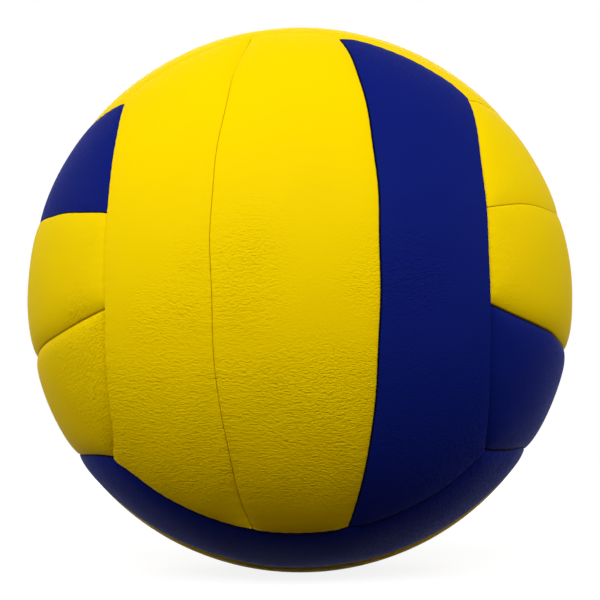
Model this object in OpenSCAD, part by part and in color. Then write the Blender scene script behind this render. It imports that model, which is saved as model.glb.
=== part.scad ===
// Indoor volleyball, 18 stitched panels over foam, lining and an air bladder, with its valve.
// Millimetres. The origin is the centre of the ball and +Z runs out through the valve.
// Six groups of three parallel strips cover the ball. Each group faces one axis, and its
// strips run at right angles to those of the groups beside it.

/* [Ball] */
// Diameter of the inflated ball over its panels
ball_d = 210; // [200:1:216]
// Angle at the ball's centre from the middle of a group to its two inner seams
inner_seam_angle = 14.2; // [11:0.1:17]

/* [Cover] */
// Thickness of the synthetic leather
leather_t = 1.3; // [1.0:0.1:1.8]
// Radius at which the leather rolls over into a seam
roll_r = 2.6; // [2.0:0.1:3.2]

/* [Backing] */
// Thickness of the foam pad behind each panel
foam_t = 3.0; // [2.0:0.1:4.0]
// Thickness of the woven lining behind the foam
lining_t = 1.0; // [0.8:0.1:2.0]
// Glue line between two layers
glue_gap = 0.1; // [0.05:0.05:0.2]

/* [Seams] */
// Diameter of the sewing thread
thread_d = 0.5; // [0.3:0.05:0.7]
// Distance from the stitch line to the cut edge of the leather
seam_allowance = 1.8; // [1.2:0.1:2.4]
// Room between the thread and the edge of the foam
thread_gap = 0.1; // [0.05:0.05:0.2]

/* [Bladder] */
// Wall of the butyl rubber bladder
bladder_t = 0.6; // [0.5:0.1:1.2]
// Room between the bladder and the seams that it presses on
bladder_gap = 0.2; // [0.1:0.05:0.3]

/* [Valve] */
// Diameter of the valve's round face, which shows in the panel
valve_face_d = 9.4; // [8.6:0.1:11]
// Depth of that face below the panel's surface
valve_face_drop = 0.6; // [0.3:0.1:1.0]
// Gap round the valve in the panel, the foam and the bladder
valve_gap = 0.3; // [0.2:0.05:0.5]
// Diameter of the flange that is glued to the bladder
valve_flange_d = 30; // [24:1:36]
// Thickness of that flange
valve_flange_t = 1.0; // [0.8:0.1:1.4]
// Outer diameter of the valve's tube, inside the bladder
valve_tube_d = 11; // [9.4:0.1:13]
// Diameter of the air hole at the tube's inner end
valve_air_d = 3; // [2:0.1:4]
// Thickness of the tube's inner end
valve_end_t = 1.5; // [1:0.1:2.5]
// Room between the core's foot and the tube's inner end
valve_foot_gap = 0.8; // [0.4:0.1:1.5]

/* [Valve core] */
// Diameter of the core's head
core_head_d = 6.6; // [6.2:0.1:7.4]
// Thickness of the core's head
core_head_t = 1.8; // [1.2:0.1:2.6]
// Diameter of the core's stem
core_stem_d = 5.0; // [4.4:0.1:5.6]
// Length of the stem below the head, with its tapered foot
core_stem_l = 17; // [15:0.5:20]
// Length of the tapered foot
core_foot_l = 2.2; // [1.5:0.1:3]
// Diameter of the foot's end
core_foot_d = 3.0; // [2.6:0.1:3.4]
// Diameter of the hole that takes the pump needle
needle_d = 2.5; // [2.3:0.1:2.9]
// Depth of that hole from the core's face
needle_l = 13; // [10:0.5:13]
// Width of the chamfer at the mouth of the needle hole
needle_chamfer = 0.5; // [0.2:0.1:0.7]
// Running clearance between the core and the housing, on the radius
core_gap = 0.08; // [0.03:0.01:0.1]

/* [Hidden] */
$fn = 128;

// Groups of strips meet where all three axes are equally far away
group_angle = acos(1 / sqrt(3));

// Radii of the layers, from the outside inwards
ball_r = ball_d / 2;
foam_out_r = ball_r - leather_t - glue_gap;
lining_out_r = foam_out_r - foam_t - glue_gap;
edge_r = lining_out_r - lining_t;
stitch_r = edge_r + seam_allowance;
bladder_r = edge_r - bladder_gap;

// The roll's centre lies a little less than its radius inside the surface and the wall, so
// that the rounded face crosses them at a shallow crease
roll_depth_share = 0.96;
roll_depth = roll_r * roll_depth_share;

// Distance that cutting shapes run past what they cut
overrun = 3;
reach = ball_r + overrun;

// Layers behind the leather stop short of the seam wall, clear of the thread
backing_inset = leather_t + thread_d + 2 * thread_gap;
thread_inset = leather_t + thread_gap + thread_d / 2;
thread_end_inset = backing_inset + thread_gap;

// Valve, measured along Z
valve_top = ball_r - valve_face_drop;
flange_in_r = bladder_r + glue_gap;
head_seat = valve_top - core_head_t;
core_bottom = head_seat - core_stem_l;
valve_floor = core_bottom - valve_foot_gap;
valve_bottom = valve_floor - valve_end_t;

leather_yellow = [0.96, 0.84, 0.05];
leather_blue = [0.08, 0.10, 0.42];
foam_white = [0.93, 0.92, 0.86];
lining_grey = [0.78, 0.77, 0.72];
thread_white = [0.90, 0.89, 0.84];
butyl_black = [0.09, 0.09, 0.10];
valve_grey = [0.20, 0.20, 0.22];
core_grey = [0.32, 0.32, 0.34];

// Walls of a strip in the front group, where strips run along Z. Each wall is a cone with
// its tip at the ball's centre, or a plane where its angle is 90: [bearing of the cone's
// axis in the XY plane, angle between axis and wall]. Strip 1 is the +X side strip, strip 0
// the middle one, and strip -1 is the mirror image of strip 1.
function walls(strip) = strip == 0
    ? [[-90, group_angle], [180 + inner_seam_angle, 90], [-inner_seam_angle, 90]]
    : [[-90, group_angle], [inner_seam_angle, 90], [180, 180 - group_angle]];

// Unit vector in a wall's profile plane, at an angle from the wall's axis
function ray(angle) = [sin(angle), cos(angle)];

// One blue strip in each group; opposite groups show the same pattern turned round
function is_blue(group, strip) =
    strip == (group == "front" || group == "back" || group == "left" ? 1 : -1);

// Profile of the space on the panel's side of a wall, with the wall drawn in by inset
module wall_profile(angle, inset) {
    tip = inset / sin(angle);
    polygon([[0, tip], [0, reach], [reach, reach], [reach, reach * cos(angle) / sin(angle) + tip]]);
}

// Corner of the profile that the rolled leather leaves empty, between surface and wall
module roll_corner(angle) {
    turn = asin(roll_depth / (ball_r - roll_depth));
    centre = (ball_r - roll_depth) * ray(angle - turn);
    outwards = (roll_r + overrun) * ray(angle - turn);
    sideways = (roll_r + overrun) * ray(angle + 90);
    difference() {
        polygon([centre, centre + outwards, centre + outwards + sideways, centre + sideways]);
        translate(centre) circle(roll_r, $fn = 48);
    }
}

module wall_side(wall, inset) {
    rotate([0, 90, wall[0]]) rotate_extrude() wall_profile(wall[1], inset);
}

module rolled_side(wall) {
    rotate([0, 90, wall[0]]) rotate_extrude() difference() {
        wall_profile(wall[1], 0);
        roll_corner(wall[1]);
    }
}

module shell(outer_r, inner_r) {
    difference() {
        sphere(outer_r);
        sphere(inner_r);
    }
}

// Part of a shell between the walls of one strip
module strip_layer(strip, outer_r, inner_r, inset) {
    intersection() {
        shell(outer_r, inner_r);
        wall_side(walls(strip)[0], inset);
        wall_side(walls(strip)[1], inset);
        wall_side(walls(strip)[2], inset);
    }
}

// Leather of one strip: a curved face whose four edges roll over and turn in to the stitches
module strip_leather(strip) {
    difference() {
        intersection() {
            shell(ball_r, edge_r);
            rolled_side(walls(strip)[0]);
            rolled_side(walls(strip)[1]);
            rolled_side(walls(strip)[2]);
        }
        strip_layer(strip, ball_r - leather_t, edge_r - overrun, leather_t);
    }
}

// Angle from a wall's axis to a line on the stitch sphere, at a distance inside the wall
function line_angle(wall, inset) = wall[1] - asin(inset / stitch_r);

// Angle about the first wall's axis at which the thread along it comes within the end inset
// of the second wall
function thread_end(wall, other) =
    asin((cos(line_angle(other, thread_end_inset))
          - cos(line_angle(wall, thread_inset)) * cos(other[0] - wall[0]))
         / (sin(line_angle(wall, thread_inset)) * sin(other[0] - wall[0])));

// Thread that lies on the turned-in leather along one wall, between two angles about the
// wall's axis
module thread_run(wall, from, to) {
    rotate([0, 90, wall[0]]) rotate([0, 0, from]) rotate_extrude(angle = to - from)
        translate(stitch_r * ray(line_angle(wall, thread_inset))) circle(d = thread_d, $fn = 16);
}

// Threads of one strip: one along each long side and one along each end. Each stops short of
// the next.
module strip_threads(strip) {
    end_wall = walls(strip)[0];
    side_walls = [walls(strip)[1], walls(strip)[2]];
    for (side_wall = side_walls) {
        start = thread_end(side_wall, end_wall);
        thread_run(side_wall, start < 0 ? -180 - start : start, start < 0 ? start : 180 - start);
    }
    ends = [for (side_wall = side_walls) thread_end(end_wall, side_wall)];
    thread_run(end_wall, min(ends), max(ends));
    thread_run(end_wall, 180 - max(ends), 180 - min(ends));
}

// Turns a strip of the front group into its place in another group. Two turns of a third
// about the ball's diagonal give the left and bottom groups, and half turns give the rest.
module place(group, strip) {
    third = group == "left" || group == "right" ? 240 : group == "top" || group == "bottom" ? 120 : 0;
    half = group == "back" || group == "right" ? [0, 0, 180] : group == "top" ? [180, 0, 0] : [0, 0, 0];
    rotate(half) rotate(a = third, v = [1, 1, 1])
        mirror([strip < 0 ? 1 : 0, 0, 0]) children();
}

// Hole round the valve, cut only from the strip that holds it
module valve_hole(group, strip, d) {
    if (group == "top" && strip == 0)
        cylinder(d = d, h = reach);
}

module cover_panel(group, strip) {
    color(is_blue(group, strip) ? leather_blue : leather_yellow) difference() {
        place(group, strip) strip_leather(strip);
        valve_hole(group, strip, valve_face_d + 2 * valve_gap);
    }
}

module foam_pad(group, strip) {
    color(foam_white) difference() {
        place(group, strip) strip_layer(strip, foam_out_r, foam_out_r - foam_t, backing_inset);
        valve_hole(group, strip, valve_face_d + 2 * valve_gap);
    }
}

module lining(group) {
    color(lining_grey) for (strip = [-1:1]) difference() {
        place(group, strip) strip_layer(strip, lining_out_r, edge_r, backing_inset);
        valve_hole(group, strip, valve_flange_d + 2 * valve_gap);
    }
}

module seam_thread(group) {
    color(thread_white) for (strip = [-1:1]) place(group, strip) strip_threads(strip);
}

module bladder() {
    color(butyl_black) difference() {
        shell(bladder_r, bladder_r - bladder_t);
        cylinder(d = valve_tube_d + 2 * valve_gap, h = reach);
    }
}

module valve_housing() {
    color(valve_grey) difference() {
        union() {
            intersection() {
                shell(flange_in_r + valve_flange_t, flange_in_r);
                cylinder(d = valve_flange_d, h = reach);
            }
            translate([0, 0, valve_bottom])
                cylinder(d = valve_tube_d, h = flange_in_r + valve_flange_t / 2 - valve_bottom);
            translate([0, 0, valve_bottom])
                cylinder(d = valve_face_d, h = valve_top - valve_bottom);
        }
        translate([0, 0, head_seat])
            cylinder(d = core_head_d + 2 * core_gap, h = core_head_t + overrun);
        translate([0, 0, valve_floor])
            cylinder(d = core_stem_d + 2 * core_gap, h = valve_top - valve_floor);
        translate([0, 0, valve_bottom - overrun])
            cylinder(d = valve_air_d, h = valve_end_t + 2 * overrun);
    }
}

module valve_core() {
    color(core_grey) difference() {
        union() {
            translate([0, 0, head_seat]) cylinder(d = core_head_d, h = core_head_t);
            translate([0, 0, core_bottom + core_foot_l])
                cylinder(d = core_stem_d, h = core_stem_l - core_foot_l + core_head_t / 2);
            translate([0, 0, core_bottom])
                cylinder(d1 = core_foot_d, d2 = core_stem_d, h = core_foot_l);
        }
        translate([0, 0, valve_top - needle_l]) cylinder(d = needle_d, h = needle_l + overrun);
        translate([0, 0, valve_top - needle_chamfer])
            cylinder(d1 = needle_d, d2 = needle_d + 4 * needle_chamfer, h = 2 * needle_chamfer);
    }
}

cover_panel("front", -1);  // front_left_panel
cover_panel("front", 0);  // front_middle_panel
cover_panel("front", 1);  // front_right_panel
cover_panel("back", 1);  // back_left_panel
cover_panel("back", 0);  // back_middle_panel
cover_panel("back", -1);  // back_right_panel
cover_panel("left", 1);  // left_upper_panel
cover_panel("left", 0);  // left_middle_panel
cover_panel("left", -1);  // left_lower_panel
cover_panel("right", 1);  // right_upper_panel
cover_panel("right", 0);  // right_middle_panel
cover_panel("right", -1);  // right_lower_panel
cover_panel("top", 1);  // top_front_panel
cover_panel("top", 0);  // top_middle_panel
cover_panel("top", -1);  // top_back_panel
cover_panel("bottom", -1);  // bottom_front_panel
cover_panel("bottom", 0);  // bottom_middle_panel
cover_panel("bottom", 1);  // bottom_back_panel
foam_pad("front", -1);  // front_left_foam
foam_pad("front", 0);  // front_middle_foam
foam_pad("front", 1);  // front_right_foam
foam_pad("back", 1);  // back_left_foam
foam_pad("back", 0);  // back_middle_foam
foam_pad("back", -1);  // back_right_foam
foam_pad("left", 1);  // left_upper_foam
foam_pad("left", 0);  // left_middle_foam
foam_pad("left", -1);  // left_lower_foam
foam_pad("right", 1);  // right_upper_foam
foam_pad("right", 0);  // right_middle_foam
foam_pad("right", -1);  // right_lower_foam
foam_pad("top", 1);  // top_front_foam
foam_pad("top", 0);  // top_middle_foam
foam_pad("top", -1);  // top_back_foam
foam_pad("bottom", -1);  // bottom_front_foam
foam_pad("bottom", 0);  // bottom_middle_foam
foam_pad("bottom", 1);  // bottom_back_foam
lining("front");  // front_lining
lining("back");  // back_lining
lining("left");  // left_lining
lining("right");  // right_lining
lining("top");  // top_lining
lining("bottom");  // bottom_lining
seam_thread("front");  // front_seam_thread
seam_thread("back");  // back_seam_thread
seam_thread("left");  // left_seam_thread
seam_thread("right");  // right_seam_thread
seam_thread("top");  // top_seam_thread
seam_thread("bottom");  // bottom_seam_thread
bladder();
valve_housing();
valve_core();
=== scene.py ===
"""Indoor volleyball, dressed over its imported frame.

The ball is 18 padded strips in six groups of three. Each strip's cover is a closed leather
shell whose four edges roll over into the seams. Behind the covers lie foam pads, a woven
lining, the threads of the seams, a rubber bladder and a valve with a removable core.

Sizes are in millimetres, and the meshes in metres.
"""

import logging
import math
from collections.abc import Callable
from dataclasses import dataclass, field
from enum import Enum
from functools import partial, reduce
from typing import Any, ClassVar

import bpy
import numpy as np
from mathutils import Matrix, Vector
from numpy.typing import NDArray


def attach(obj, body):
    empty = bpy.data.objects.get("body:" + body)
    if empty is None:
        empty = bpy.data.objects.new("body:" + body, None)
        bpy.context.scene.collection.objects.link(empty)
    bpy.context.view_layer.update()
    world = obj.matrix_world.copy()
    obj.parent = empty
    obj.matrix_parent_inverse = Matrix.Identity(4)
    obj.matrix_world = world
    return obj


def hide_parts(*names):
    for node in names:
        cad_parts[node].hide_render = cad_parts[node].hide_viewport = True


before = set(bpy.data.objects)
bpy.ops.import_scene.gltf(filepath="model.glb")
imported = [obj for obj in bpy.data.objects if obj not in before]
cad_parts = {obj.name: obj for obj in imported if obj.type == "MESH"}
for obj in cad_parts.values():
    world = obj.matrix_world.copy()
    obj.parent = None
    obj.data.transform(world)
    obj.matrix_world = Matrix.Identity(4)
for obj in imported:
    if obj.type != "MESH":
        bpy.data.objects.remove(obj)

Array = NDArray[np.float64]
Faces = NDArray[np.int64]
Mask = NDArray[np.bool_]
Levels = tuple[float, float, float, float]
Wall = tuple[float, float]
Corner = tuple[float, float, float]
Direction = tuple[float, float, float]
Forms = tuple["SeamForm", ...]
Material = bpy.types.Material
Outputs = bpy.types.bpy_prop_collection
Piece = bpy.types.Object
Socket = bpy.types.NodeSocket
Adder = Callable[..., Outputs]
Pattern = tuple[Socket, Socket | float, Socket]

log = logging.getLogger("volleyball")

MM = 0.001
QUARTER_TURN = math.pi / 2
GROUP_ANGLE = math.acos(1 / math.sqrt(3))
STRIP_ATTRIBUTE = "strip_mm"
# Stored on each point: crease strength and the share of painted shade at the seams.
SEAM_ATTRIBUTE = "creased_and_shaded"
THREAD_ATTRIBUTE = "thread_mm"
SMOOTH = {"interpolation_type": "SMOOTHSTEP"}
WHITE = "#FFFFFF"


# Colour and node helpers


def linear_colour(hex_colour: str) -> Levels:
    """Turn an sRGB hex colour into linear RGBA.

    Args:
        hex_colour: Colour such as "#F5D500".

    Returns:
        Red, green, blue and alpha between 0 and 1.
    """
    srgb = np.array([int(hex_colour[i : i + 2], 16) for i in (1, 3, 5)]) / 255
    linear = np.where(srgb <= 0.04045, srgb / 12.92, ((srgb + 0.055) / 1.055) ** 2.4)
    return (*linear.tolist(), 1.0)


def add_node(
    tree: bpy.types.NodeTree, kind: str, inputs: dict[str | int, Any] | tuple = (), **settings: Any
) -> Outputs:
    """Add a node, set its properties and fill or link its inputs.

    Args:
        tree: Node tree that gets the node.
        kind: Type of the shader node, such as "Bump".
        inputs: Values, or sockets to link, by the input's name or number, or in order.
        **settings: Property names and their values.

    Returns:
        The node's outputs.
    """
    node = tree.nodes.new(f"ShaderNode{kind}")
    for name, value in settings.items():
        setattr(node, name, value)
    for name, value in inputs.items() if isinstance(inputs, dict) else enumerate(inputs):
        if isinstance(value, Socket):
            tree.links.new(value, node.inputs[name])
        else:
            node.inputs[name].default_value = value
    return node.outputs


def empty_tree(owner: Material | bpy.types.World) -> Adder:
    """Empty the node tree of a material or a world.

    Args:
        owner: The material or the world.

    Returns:
        The function that adds a node to its tree.
    """
    owner.use_nodes = True
    owner.node_tree.nodes.clear()
    return partial(add_node, owner.node_tree)


def in_features(add: Adder, position: Socket, *sizes: float) -> Socket:
    """Count a position in pattern features, which have a size along X, Y and Z."""
    return add("Mapping", {"Vector": position, "Scale": tuple(1 / size for size in sizes)})[0]


def solid_vector(add: Adder, feature_mm: float) -> Socket:
    """Count Object coordinates in pattern features of one real size."""
    return in_features(add, add("TexCoord")["Object"], *(feature_mm * MM,) * 3)


def seen_directly(add: Adder) -> Socket:
    """Tell the rays of the eye, of reflections and of glass from other light.

    Args:
        add: Function that adds a node.

    Returns:
        1 for these rays and 0 for others.
    """
    path = add("LightPath")
    rays = (path[f"Is {kind} Ray"] for kind in ("Camera", "Glossy", "Transmission"))
    return reduce(lambda a, b: add("Math", (a, b), operation="MAXIMUM")[0], rays)


# Materials


@dataclass(frozen=True)
class Finish:
    """Finish of one real material: two colours mixed by a pattern, over a fine relief.

    Levels are the two ends of a pattern's value and what they become. Those of the shift are
    added to the roughness.
    """

    name: str
    first_colour: str
    second_colour: str
    roughness: float
    relief_mm: float
    relief_strength: float = 1.0
    relief_inverted: ClassVar[bool] = False
    shader: ClassVar[dict[str, float]] = {}

    def pattern(self, add: Adder) -> Pattern:
        """Work out the share of the second colour, the roughness and the relief's height."""
        raise NotImplementedError

    def colour(self, add: Adder, share: Socket) -> Socket:
        """Mix the two colours by the share of the second."""
        mix = {0: share, 6: linear_colour(self.first_colour), 7: linear_colour(self.second_colour)}
        return add("Mix", mix, data_type="RGBA")[2]

    def build(self) -> Material:
        """Make the material.

        Returns:
            The material.
        """
        material = bpy.data.materials.new(self.name)
        add = empty_tree(material)
        share, roughness, height = self.pattern(add)
        relief = {"Distance": self.relief_mm * MM, "Strength": self.relief_strength}
        normal = add("Bump", {"Height": height, **relief}, invert=self.relief_inverted)[0]
        looks = {"Base Color": self.colour(add, share), "Roughness": roughness, "Normal": normal}
        add("OutputMaterial", (add("BsdfPrincipled", {**looks, **self.shader})[0],))
        return material


@dataclass(frozen=True)
class SyntheticLeather(Finish):
    """Polyurethane-coated microfibre leather, stretched over foam and sewn under tension.

    It gives the eye a soft satin face. Where it is creased, fine folds lie side by side with
    sharper lines between them, with painted shade in their low parts. Elsewhere it is smooth
    but for faint pebbles. Painted shade darkens it where it turns down into a seam.
    """

    roughness: float = 0.52
    relief_mm: float = 0.19
    # Colour of the painted shade in the seams.
    seam_shade_colour: str = "#8A6A00"
    fold_pitch_mm: float = 0.57
    fold_length_mm: float = 1.35
    fold_distortion: float = 0.8
    line_pitches: float = 1.8
    line_lengths: float = 1.3
    line_levels: Levels = (0.0, 0.07, 0.0, 1.0)
    line_share: float = 0.2
    pebble_mm: float = 0.7
    pebble_length: float = 1.5
    pebble_depth_mm: float = 0.01
    pebble_smoothness: float = 0.6
    pebble_randomness: float = 0.9
    mottle_mm: float = 26.0
    mottle_levels: Levels = (0.3, 0.7, 0.05, 0.0)
    patch_levels: Levels = (0.36, 0.54, 0.75, 1.0)
    least_creased: float = 0.03
    # Levels of the painted shade in the low parts of the folds.
    valley_shade_levels: Levels = (0.3, 0.5, 0.2, 0.0)
    shift_levels: Levels = (0.3, 0.7, 0.07, -0.05)
    # How far and how strongly painted shade darkens the leather at the seams.
    seam_full: float = 1.0
    seam_shade: float = 0.54
    shader: ClassVar[dict[str, float]] = {"IOR": 1.48, "Specular IOR Level": 0.01}

    def pattern(self, add: Adder) -> Pattern:
        """Crease the leather. The share of creases stored on it is broken up by patches.

        Args:
            add: Function that adds a node.

        Returns:
            Share of the painted fold shade and mottle, roughness and height.
        """
        place = add("Attribute", attribute_name=STRIP_ATTRIBUTE)["Vector"]
        stored = add("SeparateXYZ", (add("Attribute", attribute_name=SEAM_ATTRIBUTE)["Vector"],))
        pitch, length, pebble = self.fold_pitch_mm, self.fold_length_mm, self.pebble_mm
        folding = {"Scale": 1.0, "Distortion": self.fold_distortion}
        folded = in_features(add, place, length, pitch, pitch)
        folds = add("TexNoise", {"Vector": folded, "Detail": 0.0, **folding})[0]
        line_pitch = pitch * self.line_pitches
        lined = in_features(add, place, length * self.line_lengths, line_pitch, line_pitch)
        lines = add("TexNoise", {"Vector": lined, "Detail": 1.0, **folding})[0]
        off_line = add("Math", (lines, 0.5), operation="SUBTRACT")[0]
        off_line = add("Math", (off_line,), operation="ABSOLUTE")[0]
        ridges = add("MapRange", (off_line, *self.line_levels), **SMOOTH)[0]
        pebbling = {
            "Vector": in_features(add, place, pebble * self.pebble_length, pebble, pebble),
            "Scale": 1.0,
            "Smoothness": self.pebble_smoothness,
            "Randomness": self.pebble_randomness,
        }
        pebbles = add("TexVoronoi", pebbling, feature="SMOOTH_F1")[0]
        mottled = in_features(add, place, *(self.mottle_mm,) * 3)
        mottle = add("TexNoise", {"Vector": mottled, "Scale": 1.0, "Detail": 3.0})[0]
        patches = add("MapRange", (mottle, *self.patch_levels), **SMOOTH)[0]
        zone = add("Math", (stored["X"], patches), operation="MULTIPLY")[0]
        zone = add("Math", (zone, self.least_creased), operation="MAXIMUM")[0]
        ridges = add("Math", (ridges, self.line_share), operation="MULTIPLY")[0]
        relief = add("Math", (folds, ridges), operation="ADD")[0]
        relief = add("Math", (relief, zone), operation="MULTIPLY")[0]
        pebble_share = self.pebble_depth_mm / -self.relief_mm
        grain = add("Math", (pebbles, pebble_share), operation="MULTIPLY")[0]
        height = add("Math", (relief, grain), operation="ADD")[0]
        # Painted shade: the low parts of the folds get the darker second colour.
        valley_shade = add("MapRange", (folds, *self.valley_shade_levels), **SMOOTH)[0]
        valley_shade = add("Math", (valley_shade, zone), operation="MULTIPLY")[0]
        clouds = add("MapRange", (mottle, *self.mottle_levels), **SMOOTH)[0]
        share = add("Math", (valley_shade, clouds), operation="MAXIMUM")[0]
        shift = add("MapRange", (folds, *self.shift_levels), **SMOOTH)[0]
        return share, add("Math", (shift, self.roughness), operation="ADD")[0], height

    def colour(self, add: Adder, share: Socket) -> Socket:
        """Mix the colours, and darken the leather by the painted shade stored beside the seams.

        Args:
            add: Function that adds a node.
            share: Share of the painted fold shade and mottle.

        Returns:
            The leather's colour.
        """
        stored = add("SeparateXYZ", (add("Attribute", attribute_name=SEAM_ATTRIBUTE)["Vector"],))
        levels = (0.0, self.seam_full, 0.0, self.seam_shade)
        # Painted shade: the share stored beside the seams mixes in the seam shade colour.
        shade = add("MapRange", (stored["Y"], *levels), **SMOOTH)[0]
        mix = {0: shade, 6: super().colour(add, share), 7: linear_colour(self.seam_shade_colour)}
        return add("Mix", mix, data_type="RGBA")[2]


@dataclass(frozen=True)
class LeatherBacking(Finish):
    """Raised microfibre back of the leather: a pale nap with no shine.

    The real fibres are far finer than 0.1 mm, and are drawn as tufts of 0.5 mm to show.
    """

    name: str = "Microfibre backing"
    first_colour: str = "#D8D2C2"
    # Colour of the painted shade in the hollows of the nap.
    second_colour: str = "#B9B29F"
    roughness: float = 0.92
    relief_mm: float = 0.1
    relief_strength: float = 0.8
    fibre_mm: float = 0.5
    hollow_shade_levels: Levels = (0.35, 0.65, 1.0, 0.0)
    shader: ClassVar[dict[str, float]] = {"Sheen Weight": 0.3}

    def pattern(self, add: Adder) -> Pattern:
        """Tangle the fibres, with painted shade where they lie low.

        Args:
            add: Function that adds a node.

        Returns:
            Share of the painted shade in the hollows, roughness and height.
        """
        nap = {"Vector": solid_vector(add, self.fibre_mm), "Scale": 1.0, "Detail": 4.0}
        fibres = add("TexNoise", {**nap, "Distortion": 1.5})[0]
        return add("MapRange", (fibres, *self.hollow_shade_levels), **SMOOTH)[0], self.roughness, fibres


@dataclass(frozen=True)
class ClosedCellFoam(Finish):
    """Cut closed-cell foam: an off-white matt face of burst cells, with painted shade inside them.

    The real cells are about 0.3 mm wide, and are drawn 0.8 mm wide to show.
    """

    name: str = "Closed-cell EVA foam"
    first_colour: str = "#EFEDE2"
    # Colour of the painted shade inside the cells.
    second_colour: str = "#CFCBBB"
    roughness: float = 0.85
    relief_mm: float = 0.12
    relief_strength: float = 0.9
    cell_mm: float = 0.8
    wall_levels: Levels = (0.0, 0.18, 0.0, 1.0)
    relief_inverted: ClassVar[bool] = True
    shader: ClassVar[dict[str, float]] = {"Specular IOR Level": 0.3}

    def pattern(self, add: Adder) -> Pattern:
        """Cut the cells open: each lies below its walls, darkened by painted shade.

        Args:
            add: Function that adds a node.

        Returns:
            Share of the painted shade in the cells, roughness and depth.
        """
        cutting = {"Vector": solid_vector(add, self.cell_mm), "Scale": 1.0}
        from_wall = add("TexVoronoi", cutting, feature="DISTANCE_TO_EDGE")[0]
        cell = add("MapRange", (from_wall, *self.wall_levels), **SMOOTH)[0]
        return cell, self.roughness, cell


@dataclass(frozen=True)
class WovenLining(Finish):
    """Plain-woven cotton and polyester cloth: grey-beige yarns that pass over and under.

    The real yarns lie about 0.4 mm apart, and are drawn 0.8 mm apart to show. Painted shade
    darkens the gaps between them.
    """

    name: str = "Plain-woven cotton lining"
    # Colour of the painted shade in the gaps between the yarns.
    first_colour: str = "#7F7867"
    second_colour: str = "#C9C2B0"
    roughness: float = 0.9
    relief_mm: float = 0.15
    yarn_pitch_mm: float = 0.8
    over_levels: Levels = (-0.2, 0.2, 0.0, 1.0)
    yarn_levels: Levels = (0.1, 0.7, 0.0, 1.0)
    fuzz_mm: float = 0.3
    fuzz_share: float = 0.25
    shader: ClassVar[dict[str, float]] = {"Sheen Weight": 0.2}

    def pattern(self, add: Adder) -> Pattern:
        """Weave the cloth.

        A yarn's height is the sine across it. The warp is on top where the product of the
        cosines across both yarns is positive.

        Args:
            add: Function that adds a node.

        Returns:
            Share of the yarns' colour over the painted shade between them, roughness and height.
        """
        place = add("Attribute", attribute_name=STRIP_ATTRIBUTE)["Vector"]
        place = add("SeparateXYZ", (in_features(add, place, *(self.yarn_pitch_mm / math.pi,) * 3),))
        yarns, waves = [], []
        for axis in "XY":
            wave = add("Math", (place[axis],), operation="SINE")[0]
            yarns.append(add("Math", (wave,), operation="ABSOLUTE")[0])
            waves.append(add("Math", (place[axis],), operation="COSINE")[0])
        over = add("Math", tuple(waves), operation="MULTIPLY")[0]
        warp_over = add("MapRange", (over, *self.over_levels), **SMOOTH)[0]
        weave = add("Mix", {0: warp_over, 2: yarns[1], 3: yarns[0]}, data_type="FLOAT")[0]
        fuzzing = {"Vector": solid_vector(add, self.fuzz_mm), "Scale": 1.0, "Detail": 3.0}
        fuzz = add("Math", (add("TexNoise", fuzzing)[0], self.fuzz_share), operation="MULTIPLY")[0]
        height = add("Math", (weave, fuzz), operation="ADD")[0]
        return add("MapRange", (weave, *self.yarn_levels), **SMOOTH)[0], self.roughness, height


@dataclass(frozen=True)
class SewingThread(Finish):
    """Twisted bonded polyester thread: pale plies with painted shade in the lines between them."""

    name: str = "Bonded polyester thread"
    # Colour of the painted shade between the plies.
    first_colour: str = "#A29C8A"
    second_colour: str = "#E4E0D2"
    roughness: float = 0.6
    relief_mm: float = 0.08
    twist_pitch_mm: float = 1.4
    plies: int = 3
    ply_levels: Levels = (0.05, 0.5, 0.0, 1.0)
    shader: ClassVar[dict[str, float]] = {"Sheen Weight": 0.15}

    def pattern(self, add: Adder) -> Pattern:
        """Twist the thread.

        A ply is a stripe of length along plus turns round the thread, and as high as the
        sine of half of that.

        Args:
            add: Function that adds a node.

        Returns:
            Share of the plies' colour over the painted shade between them, roughness and height.
        """
        place = add("SeparateXYZ", (add("Attribute", attribute_name=THREAD_ATTRIBUTE)["Vector"],))
        along = add("Math", (place["X"], math.tau / self.twist_pitch_mm), operation="MULTIPLY")[0]
        around = add("Math", (place["Z"], place["Y"]), operation="ARCTAN2")[0]
        around = add("Math", (around, self.plies), operation="MULTIPLY")[0]
        phase = add("Math", (along, around), operation="ADD")[0]
        phase = add("Math", (phase, 0.5), operation="MULTIPLY")[0]
        wave = add("Math", (phase,), operation="SINE")[0]
        ply = add("Math", (wave,), operation="ABSOLUTE")[0]
        return add("MapRange", (ply, *self.ply_levels), **SMOOTH)[0], self.roughness, ply


@dataclass(frozen=True)
class MouldedRubber(Finish):
    """Moulded rubber: a dark face with a faint bloom and the mould's fine sparked texture.

    The real texture is finer than 0.1 mm, and is drawn at 0.35 mm to show.
    """

    relief_mm: float = 0.03
    relief_strength: float = 0.8
    spark_mm: float = 0.35
    bloom_mm: float = 9.0
    bloom_levels: Levels = (0.42, 0.72, 0.0, 0.8)
    shift_levels: Levels = (0.4, 0.7, -0.06, 0.1)
    shader: ClassVar[dict[str, float]] = {"IOR": 1.52}

    def pattern(self, add: Adder) -> Pattern:
        """Spread the bloom, which is rougher than the rubber, over the sparks.

        Args:
            add: Function that adds a node.

        Returns:
            Share of the bloom's colour, roughness and height.
        """
        blooming = {"Vector": solid_vector(add, self.bloom_mm), "Detail": 5.0, "Roughness": 0.6}
        bloom = add("TexNoise", {**blooming, "Scale": 1.0})[0]
        sparking = {"Vector": solid_vector(add, self.spark_mm), "Scale": 1.0, "Detail": 2.0}
        shift = add("MapRange", (bloom, *self.shift_levels), **SMOOTH)[0]
        roughness = add("Math", (shift, self.roughness), operation="ADD")[0]
        share = add("MapRange", (bloom, *self.bloom_levels), **SMOOTH)[0]
        return share, roughness, add("TexNoise", sparking)[0]


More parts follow.
